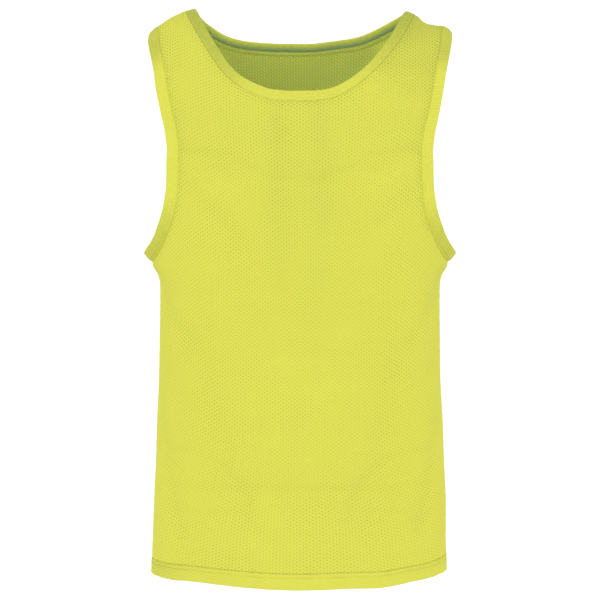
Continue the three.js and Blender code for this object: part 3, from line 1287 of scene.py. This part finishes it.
    @staticmethod
    def rim(quads: Array, count: int) -> Array:
        """Faces that join the outer and inner faces along every free edge.

        Args:
            quads: faces of the outer side.
            count: number of points on each side.

        Returns:
            One face for each edge that only one face of the side has.
        """
        starts = quads.ravel()
        ends = np.roll(quads, -1, axis=1).ravel()
        size = count * 2
        free = ~np.isin(starts * size + ends, ends * size + starts)
        start, end = starts[free], ends[free]
        return np.stack([end, start, start + count, end + count], -1)


# Bindings


@dataclass(frozen=True)
class SeamLine:
    """A closed line of places on both panels, with the directions of the band along it."""

    points: Array
    normal: Array
    flat: Array
    lean: Array
    curl: Array
    reach: Array

    @property
    def along(self) -> Array:
        """Length from the start to each mark, and all round at the end."""
        return lengths(np.r_[self.points, self.points[:1]])

    def at(self, across: Array, height: Array) -> Array:
        """Points at distances from the seam into the opening and heights over the cloth.

        The direction into the opening turns from the cloth's own to the band's lean over the
        first few millimetres, and by the curl over the whole width. The reach scales the width.

        Args:
            across: distances, in one row.
            height: heights, with a row for each mark or in one row.

        Returns:
            Points by mark and distance.
        """
        tilt = np.radians(self.lean)[:, None] * np.clip(across / 4, 0, 1) ** 2
        tilt = tilt + np.radians(self.curl)[:, None] * np.clip(across / 15, 0, 1) ** 2
        tilt = tilt * np.ones_like(height)
        c, s = np.cos(tilt)[..., None], np.sin(tilt)[..., None]
        flat, normal = self.flat[:, None], self.normal[:, None]
        reach = across * np.where(across > 0, self.reach[:, None], 1) * np.ones_like(height)
        move = (c * flat + s * normal) * reach[..., None]
        return self.points[:, None] + move + (c * normal - s * flat) * height[..., None]


@dataclass
class Binding:
    """Folded strip sewn round an opening, with its row of stitches.

    The arms field is 0 for the neck, 1 for the left armhole and -1 for the right one.
    """

    name: str
    width: float
    arms: int = 0
    flat: Place = (0.0, 0.0)
    # share of the width, millimetres past the seam, and height over the cloth
    section: Table = (
        (0, -2.4, -0.95), (0, -0.8, -0.9), (0, 0.0, -0.6), (0, 0.5, -0.2), (0, 1.6, 0.08),
        (0.3, 0, 0.4), (0.6, 0, 0.6), (0.8, 0, 0.55), (1, -1.1, 0.3), (1, -0.3, -0.1),
        (1, 0, -0.55), (1, -0.3, -1.05), (1, -1.1, -1.55), (0.8, 0, -1.95), (0.55, 0, -2.1),
        (0, 3.7, -2.0), (0, 2.9, -1.4), (0, 2.0, -1.1), (0, 0.6, -1.3), (0, -0.8, -1.5),
        (0, -2.4, -1.5),
    )
    # first row of the section that is the panel's seam allowance
    allowance_row: int = 15
    # level, lean in degrees at the front and at the back
    lean_table: Table = (
        (-300, 37, 37), (-280, 32, 32), (-240, 25, 22), (-150, 20, 16), (-50, 16, 12),
        (60, 8, 6), (180, -4, -4), (285, -22, -22),
    )
    # height, level and width of each part where an armhole band is wider than stated
    both_wide: Table = ((0.08, -190, 55), (0.07, -247, 22), (0.08, -300, 12))
    left_wide: Table = ((0.03, 145, 50),)
    right_wide: Table = ((0.11, 140, 60), (0.05, -30, 35))
    # height, turn and width of each part where the front neck band is narrower
    neck_narrow: Table = ((0.13, -29, 12), (0.19, 27, 13))

    def order(self, count: int) -> list[tuple[Side, Array]]:
        """The places along the seam in order round the opening, with no place twice.

        Args:
            count: marks on each quarter of the neck, or half of an armhole.

        Returns:
            One entry for each stretch, with its panel.
        """
        edges = ARMHOLES if self.arms else NECKLINES
        front, back = (edges[side].spread(FORM, side, count) for side in Side)
        if self.arms:
            sign = np.array([self.arms, 1])
            return [(Side.FRONT, front[:-1] * sign), (Side.BACK, back[:0:-1] * sign)]
        right = np.array([-1, 1])
        return [
            (Side.FRONT, front[:-1]),
            (Side.BACK, back[::-1]),
            (Side.BACK, back[1:] * right),
            (Side.FRONT, front[-2:0:-1] * right),
        ]

    def stance(self, turn: Array, level: Array, is_front: Array) -> tuple[Array, Array, Array]:
        """How the band stands along the seam.

        Args:
            turn: degrees from the centre line.
            level: steps on the height scale.
            is_front: which marks lie on the front panel.

        Returns:
            Lean and curl in degrees, and the share of the width that it reaches.
        """
        high = ramp(level, 150, 280) ** 2
        if not self.arms:
            reach = 1 - np.where(turn > 0, 0.3, 0.2) * high
            return -15 * high, 0 * level, reach - bells(turn, self.neck_narrow) * is_front
        levels, *leans = np.array(self.lean_table).T
        front, back = (smooth_table(levels, lean, level) for lean in leans)
        lean = np.where(is_front, front, back)
        reach = 1 + bells(level, self.both_wide)
        if self.arms > 0:
            reach = reach - 0.065 * ramp(level, -130, -70) + bells(level, self.left_wide)
            return lean, -30 * high, reach
        return lean + 6 * high, -14 * high, reach + bells(level, self.right_wide) + 0.12 * high

    def seam(self, count: int) -> SeamLine:
        """The line along which the binding is sewn on, once round.

        Args:
            count: marks on each quarter of the neck, or half of an armhole.

        Returns:
            The marks and the directions of the band at each.
        """
        order = self.order(count)
        turn, level = np.concatenate([places for _, places in order]).T
        points = np.concatenate([FORM.skin(*places.T, side) for side, places in order])
        normal = np.concatenate([FORM.normal(*places.T, side) for side, places in order])
        is_front = np.concatenate([np.full(len(p), side is Side.FRONT) for side, p in order])
        flat = unit(np.cross(np.roll(points, -1, axis=0) - np.roll(points, 1, axis=0), normal))
        middle = np.array([self.arms * 400, 0, -150.0 if self.arms else 60.0])
        flat *= np.sign(np.sum(flat * (middle - points), axis=1))[:, None]
        lean, curl, reach = self.stance(turn, level, is_front)
        return SeamLine(points, normal, flat, lean, curl, reach)

    def profile(self) -> tuple[Array, Array]:
        """The closed section as a smooth line with a mark at and between its corners.

        It is a cubic through the corners, with the slope at one taken from its neighbours.

        Returns:
            Distances from the seam and heights.
        """
        share, past, height = np.array(self.section).T
        corners = np.stack([share * self.width + past, height], -1)
        at = np.arange(len(corners) * 2) / 2
        row = at.astype(int)
        t = (at - row)[:, None]
        p0, p1, p2, p3 = (corners[(row + k) % len(corners)] for k in (-1, 0, 1, 2))
        curve = 2 * p1 + (p2 - p0) * t + (2 * p0 - 5 * p1 + 4 * p2 - p3) * t**2
        curve = (curve + (3 * p1 - p0 - 3 * p2 + p3) * t**3) / 2
        return curve[:, 0], curve[:, 1]

    def build(self, count: int = 110) -> Piece:
        """Carries the section round the seam line and makes the mesh.

        Args:
            count: marks on each quarter of the neck, or half of an armhole.

        Returns:
            The binding as one piece. Its flat size is kept.
        """
        seam = self.seam(count)
        across, height = self.profile()
        along = seam.along
        rows, columns = len(seam.points), len(across)
        free = np.clip(across, 0, None) / self.width
        wave = ripple(along[:-1], 8.0, 0.3)[:, None] * bell(across, 3, 3) * 0.25
        wave = wave + ripple(along[:-1], 37.0, 1.3)[:, None] * free * 0.35
        points = seam.at(across[None], height[None] + wave).reshape(-1, 3)
        grid = np.arange(rows * columns).reshape(rows, columns)
        quads = cells(np.pad(grid, ((0, 1), (0, 1)), mode="wrap"))
        girth = lengths(np.stack([np.r_[across, across[0]], np.r_[height, height[0]]], -1))
        mirror = -1 if self.arms < 0 else 1
        cloth = cells(np.stack(np.meshgrid(mirror * along, girth, indexing="ij"), -1))
        # painted shade along the band, which its shader reads as tone
        tone = self.tone(seam.points)[:, None] + 0 * across
        place = np.stack([across + 0 * tone, tone], -1).reshape(-1, 2)[quads]
        column = np.arange(columns)
        inner = (height < -0.5) & (column > np.argmax(across))
        kinds = np.where(column >= 2 * self.allowance_row, 2, inner.astype(int))
        kinds = np.tile(kinds, rows)
        # The allowance has the panel's material: its distance from a sewn edge, and no hem.
        under = kinds == 2
        place[under] = np.array([3.4, 100]) - place[under] * [1, 0]
        if volume(points, quads) < 0:
            quads, cloth, place = quads[:, ::-1], cloth[:, ::-1], place[:, ::-1]
        layers = {"cloth": cloth, "place": place, "shade": 0 * place}
        self.flat = (float(girth[-1] / 2) * MM, float(along[-1]) * MM)
        finishes = [BAND_CLOTH, BAND_INSIDE, INSIDE_CLOTH]
        return Build(points, [quads], layers, [kinds]).make(self.name, finishes, sharp=60)

    def tone(self, points: Array) -> Array:
        """How much painted shade darkens the band where it stands away from the light: more at the
        shoulder and the armpit.

        Args:
            points: marks along the seam.

        Returns:
            One share for each mark.
        """
        x, y, z = points.T
        if self.arms:
            return 0.42 * ramp(z, -74, -48) + 0.28 * ramp(z, -225, -270)
        corner = 0.16 * bell(x, -92, 26) * (y < 0)
        lit = 1 - 0.35 * ramp(np.abs(x), 40, 100) * (y > 0)
        return 0.59 * ramp(z, -100, -10) ** 0.9 * lit + 0.08 + corner

    def stitches(self, name: str, offset: float, height: float, pitch: float = STITCH) -> Piece:
        """A row of stitches beside the seam.

        Args:
            name: the piece's name.
            offset: distance from the seam into the opening, or onto the panel when negative.
            height: height of the thread's middle over the cloth.
            pitch: length of a stitch with its gap.

        Returns:
            The row as one piece.
        """
        seam = self.seam(300)
        line = seam.at(np.array([[offset]]), np.full((len(seam.points), 1), height))[:, 0]
        return stitch_row(name, np.r_[line, line[:1]], np.r_[seam.normal, seam.normal[:1]], pitch)


# Seam allowances


@dataclass
class SeamAllowance:
    """Overlocked edges inside a side or shoulder seam, pressed toward the back."""

    name: str
    places: Array
    # distance from the seam toward the back and height over the cloth
    section: Table = (
        (-1.3, -1.35), (-1.0, -1.05), (0, -1.0), (1.2, -1.0), (3.5, -0.7), (6.2, -0.75),
        (6.6, -1.3), (6.2, -1.9), (3.5, -2.15), (1.0, -2.25), (-1.0, -1.95),
    )
    # distance from a seam and painted shade for the band's shader
    place: Place = (20.0, 0.12)

    def build(self) -> Piece:
        """Carries the section along the seam and closes both ends.

        Returns:
            The strip as one piece.
        """
        seam = FORM.skin(*self.places.T, Side.BACK)
        normal = FORM.normal(*self.places.T, Side.BACK)
        flat = unit(np.cross(np.gradient(seam, axis=0), normal))
        flat *= np.sign(flat[:, 1:2])
        marks = lengths(seam)
        away, height = np.array(self.section).T
        height = height + 0.18 * ripple(marks, 9.0, 0.9)[:, None] * np.clip(away, 0, None) / 6
        grid = seam[:, None] + flat[:, None] * away[:, None] + normal[:, None] * height[..., None]
        points = grid.reshape(-1, 3)
        index = ring_grid(*grid.shape[:2])
        quads, ends = cells(index), np.stack([index[0, -2::-1], index[-1, :-1]])
        if volume(points, quads) < 0:
            quads, ends = quads[:, ::-1], ends[:, ::-1]
        cloth = np.stack(np.meshgrid(marks, lengths(np.array(self.section)), indexing="ij"), -1)
        place = np.tile(self.place, (len(points), 1))
        build = Build(points, [quads, ends]).with_layers(cloth=cloth.reshape(-1, 2), place=place)
        return build.make(self.name, [BAND_INSIDE], sharp=60)


def seam_allowances() -> list[Piece]:
    """The overlocked edges of both side seams and both shoulder seams.

    Returns:
        One piece for each seam.
    """
    pieces = []
    upright = np.linspace(FORM.hem_level + 2, ARMPIT_LEVEL - 1, 90)
    ridge = np.linspace(44.6, 58.6, 24)
    for word, sign in (("left", 1), ("right", -1)):
        side = np.stack([0 * upright + 90.0 * sign, upright], -1)
        shoulder = np.stack([ridge * sign, 0 * ridge + FORM.top_level], -1)
        pieces.append(SeamAllowance(f"side_seam_allowance_{word}", side).build())
        pieces.append(SeamAllowance(f"shoulder_seam_allowance_{word}", shoulder).build())
    return pieces


# Stitches

# reach along the stitch as a share of its length, share of the thread's radius, and drop
STITCH_RINGS = (
    (-0.42, 0.0, 0.30), (-0.34, 0.75, 0.12), (0.0, 1.0, 0.0), (0.34, 0.75, 0.12), (0.42, 0.0, 0.30),
)


def stitch_row(name: str, line: Array, out: Array, pitch: float, thick: float = 0.27) -> Piece:
    """Stitches along a line: spindles one pitch apart, each a six-sided ring swept to two poles.

    Args:
        name: the piece's name.
        line: marks along the middle of the thread.
        out: direction out of the cloth at each mark.
        pitch: length of a stitch with its gap.
        thick: radius of the thread.

    Returns:
        All the stitches of the row as one piece.
    """
    marks = lengths(line)
    count = max(int(marks[-1] / pitch), 2)
    at = (np.arange(count) + 0.5) * marks[-1] / count

    def read(places: Array, values: Array) -> Array:
        """The values at lengths along the line."""
        return np.stack([np.interp(places, marks, column) for column in values.T], -1)

    middle, above = read(at, line), read(at, out)
    along = unit(read(at + 0.4, line) - read(at - 0.4, line))
    side = unit(np.cross(along, above))
    above = np.cross(side, along)
    reach, girth, drop = np.array(STITCH_RINGS).T * [[pitch], [thick], [1]]
    sides = np.arange(6)
    angle = sides * math.pi / 3
    spoke = side[:, None] * np.cos(angle)[:, None] + above[:, None] * np.sin(angle)[:, None]
    centres = [(middle + along * reach[k] - above * drop[k])[:, None] for k in range(5)]
    rings = [centres[k] + spoke * girth[k] for k in (1, 2, 3)]
    points = np.concatenate([centres[0], *rings, centres[4]], axis=1)
    after = (sides + 1) % 6
    tube = cells(ring_grid(3, 6, first=1))
    last = points.shape[1] - 1
    caps = np.concatenate([
        np.stack([0 * sides, 1 + after, 1 + sides], -1),
        np.stack([0 * sides + last, last - 6 + sides, last - 6 + after], -1),
    ])
    shift = (np.arange(count) * (last + 1))[:, None, None]
    faces = [(tube[None] + shift).reshape(-1, 4), (caps[None] + shift).reshape(-1, 3)]
    length = np.repeat(reach, [1, 6, 6, 6, 1])
    turn = np.r_[0, np.tile(sides / 6, 3), 0]
    cloth = np.tile(np.stack([length, turn], -1), (count, 1))
    build = Build(points.reshape(-1, 3), faces).with_layers(cloth=cloth)
    return build.make(name, [THREAD], sharp=80)


@dataclass
class HemStitching:
    """Twin-needle rows round the hem, on the front and the back."""

    marks: int = 400
    height: float = 0.12

    def build(self) -> list[Piece]:
        """Makes one piece for each row on each panel.

        Returns:
            The pieces.
        """
        pieces = []
        turn = np.linspace(-SIDE_TURN, SIDE_TURN, self.marks)
        for side in Side:
            for number, over in enumerate(HEM_LINES, 1):
                level = FORM.hem_level + over / hem_share(turn)
                line = FORM.skin(turn, level, side, self.height)
                out = FORM.normal(turn, level, side)
                name = f"hem_stitches_{side.word}_{number}"
                pieces.append(stitch_row(name, line, out, STITCH))
        return pieces


# Studio


@dataclass(frozen=True)
class Lamp:
    """A square soft light aimed at the middle of the bib."""

    name: str
    place: tuple[float, float, float]
    size: float
    power: float
    aim: tuple[float, float, float] = (0, 0, -0.33)

    def build(self) -> None:
        """Puts the light in the scene."""
        lamp = bpy.data.objects.new(self.name, bpy.data.lights.new(self.name, "AREA"))
        lamp.data.size = self.size
        lamp.data.energy = self.power
        lamp.location = self.place
        line = np.array(self.aim) - np.array(self.place)
        tip = math.acos(-line[2] / np.linalg.norm(line))
        lamp.rotation_euler = (tip, 0, math.atan2(line[1], line[0]) - math.pi / 2)
        bpy.context.scene.collection.objects.link(lamp)


@dataclass(frozen=True)
class Studio:
    """Pale floor, even white surroundings, two soft lights and the camera of the photograph."""

    camera_height: float = -0.344
    camera_distance: float = 2.0
    lens: float = 100.0
    sensor: float = 36.0
    surroundings: float = 1.12
    floor_level: float = -1.15
    floor_radius: float = 2.2
    lamps: tuple[Lamp, ...] = (
        Lamp("key", (-1.3, -2.4, 0.3), 1.4, 8),
        Lamp("fill", (1.5, -2.3, -0.9), 1.6, 8),
    )

    def build(self) -> None:
        """Makes the floor, the surroundings, the lights and the camera."""
        scene = bpy.context.scene
        scene.view_settings.view_transform = "Standard"
        scene.view_settings.look = "None"
        self.floor()
        world = bpy.data.worlds.new("white_room")
        world.use_nodes = True
        background = world.node_tree.nodes["Background"].inputs
        background["Color"].default_value = (1, 1, 1, 1)
        background["Strength"].default_value = self.surroundings
        scene.world = world
        for lamp in self.lamps:
            lamp.build()
        camera = bpy.data.objects.new("camera", bpy.data.cameras.new("camera"))
        camera.data.lens = self.lens
        camera.data.sensor_width = self.sensor
        camera.location = (0, -self.camera_distance, self.camera_height)
        camera.rotation_euler = (math.pi / 2, 0, 0)
        scene.collection.objects.link(camera)
        scene.camera = camera

    def floor(self) -> None:
        """A round floor, flat, well below the bib."""
        rings, spokes = 24, 72
        radius = np.linspace(0, self.floor_radius, rings + 1)[1:] / MM
        angle = np.arange(spokes) * 2 * math.pi / spokes
        ring = np.stack([np.cos(angle), np.sin(angle), 0 * angle], -1)
        points = np.concatenate([[[0, 0, 0]], (radius[:, None, None] * ring).reshape(-1, 3)])
        points[:, 2] = self.floor_level / MM
        grid = ring_grid(rings, spokes, first=1)
        hub = np.stack([0 * grid[0, :-1], grid[0, :-1], grid[0, 1:]], -1)
        faces = [cells(grid)[:, [0, 3, 2, 1]], hub]
        floor = Build(points, faces).make("floor", [PaleFloor().make()])


# The bib

OUTSIDE_CLOTH = OUTSIDE.make()
INSIDE_CLOTH = INSIDE.make()
BAND_CLOTH = BAND.make()
BAND_INSIDE = BAND_IN.make()
THREAD = YARN.make()


def dress(piece: Piece, slot: str, *nodes: str) -> Piece:
    """Fastens a piece to the frame and lets it stand for CAD nodes, which it hides.

    Args:
        piece: the piece.
        slot: its material slot; not used.
        nodes: the CAD nodes that it replaces.

    Returns:
        The piece.
    """
    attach(piece, "root")
    if nodes:
        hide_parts(*nodes)
    log.info("%s: %d faces", piece.name, len(piece.data.polygons))
    return piece


def main() -> None:
    """Builds the studio and the bib, and notes the sizes."""
    logging.basicConfig(level=logging.INFO)
    Studio().build()
    hem = [dress(piece, "band_cloth") for piece in HemStitching().build()]
    inside = [dress(piece, "mesh_cloth") for piece in seam_allowances()]
    for side in Side:
        panel = Panel(side)
        piece = dress(panel.build(), "mesh_cloth", f"{side.word}_body", f"{side.word}_chest")
        with_pieces = [row for row in hem if side.word in row.name]
        with_pieces += inside if side is Side.BACK else []
        log.info("%s cut %.3f x %.3f m, %.3f square metres", piece.name, *panel.flat, panel.area)
    bindings = (
        Binding("neck_band", width=13.4),
        Binding("armhole_band_left", width=15.2, arms=1),
        Binding("armhole_band_right", width=15.2, arms=-1),
    )
    nodes = ("neck_binding", "armhole_binding_left", "armhole_binding_right")
    for binding, node in zip(bindings, nodes):
        name = binding.name
        piece = dress(binding.build(), "band_cloth", node)
        outer = binding.stitches(f"{name}_stitches", offset=STITCH_OFFSET, height=0.2)
        outer = dress(outer, "band_cloth")
        inner = binding.stitches(f"{name}_chain", offset=-0.7, height=-1.62, pitch=2.3)
        inner = dress(inner, "band_cloth")


if __name__ == "__main__":
    main()
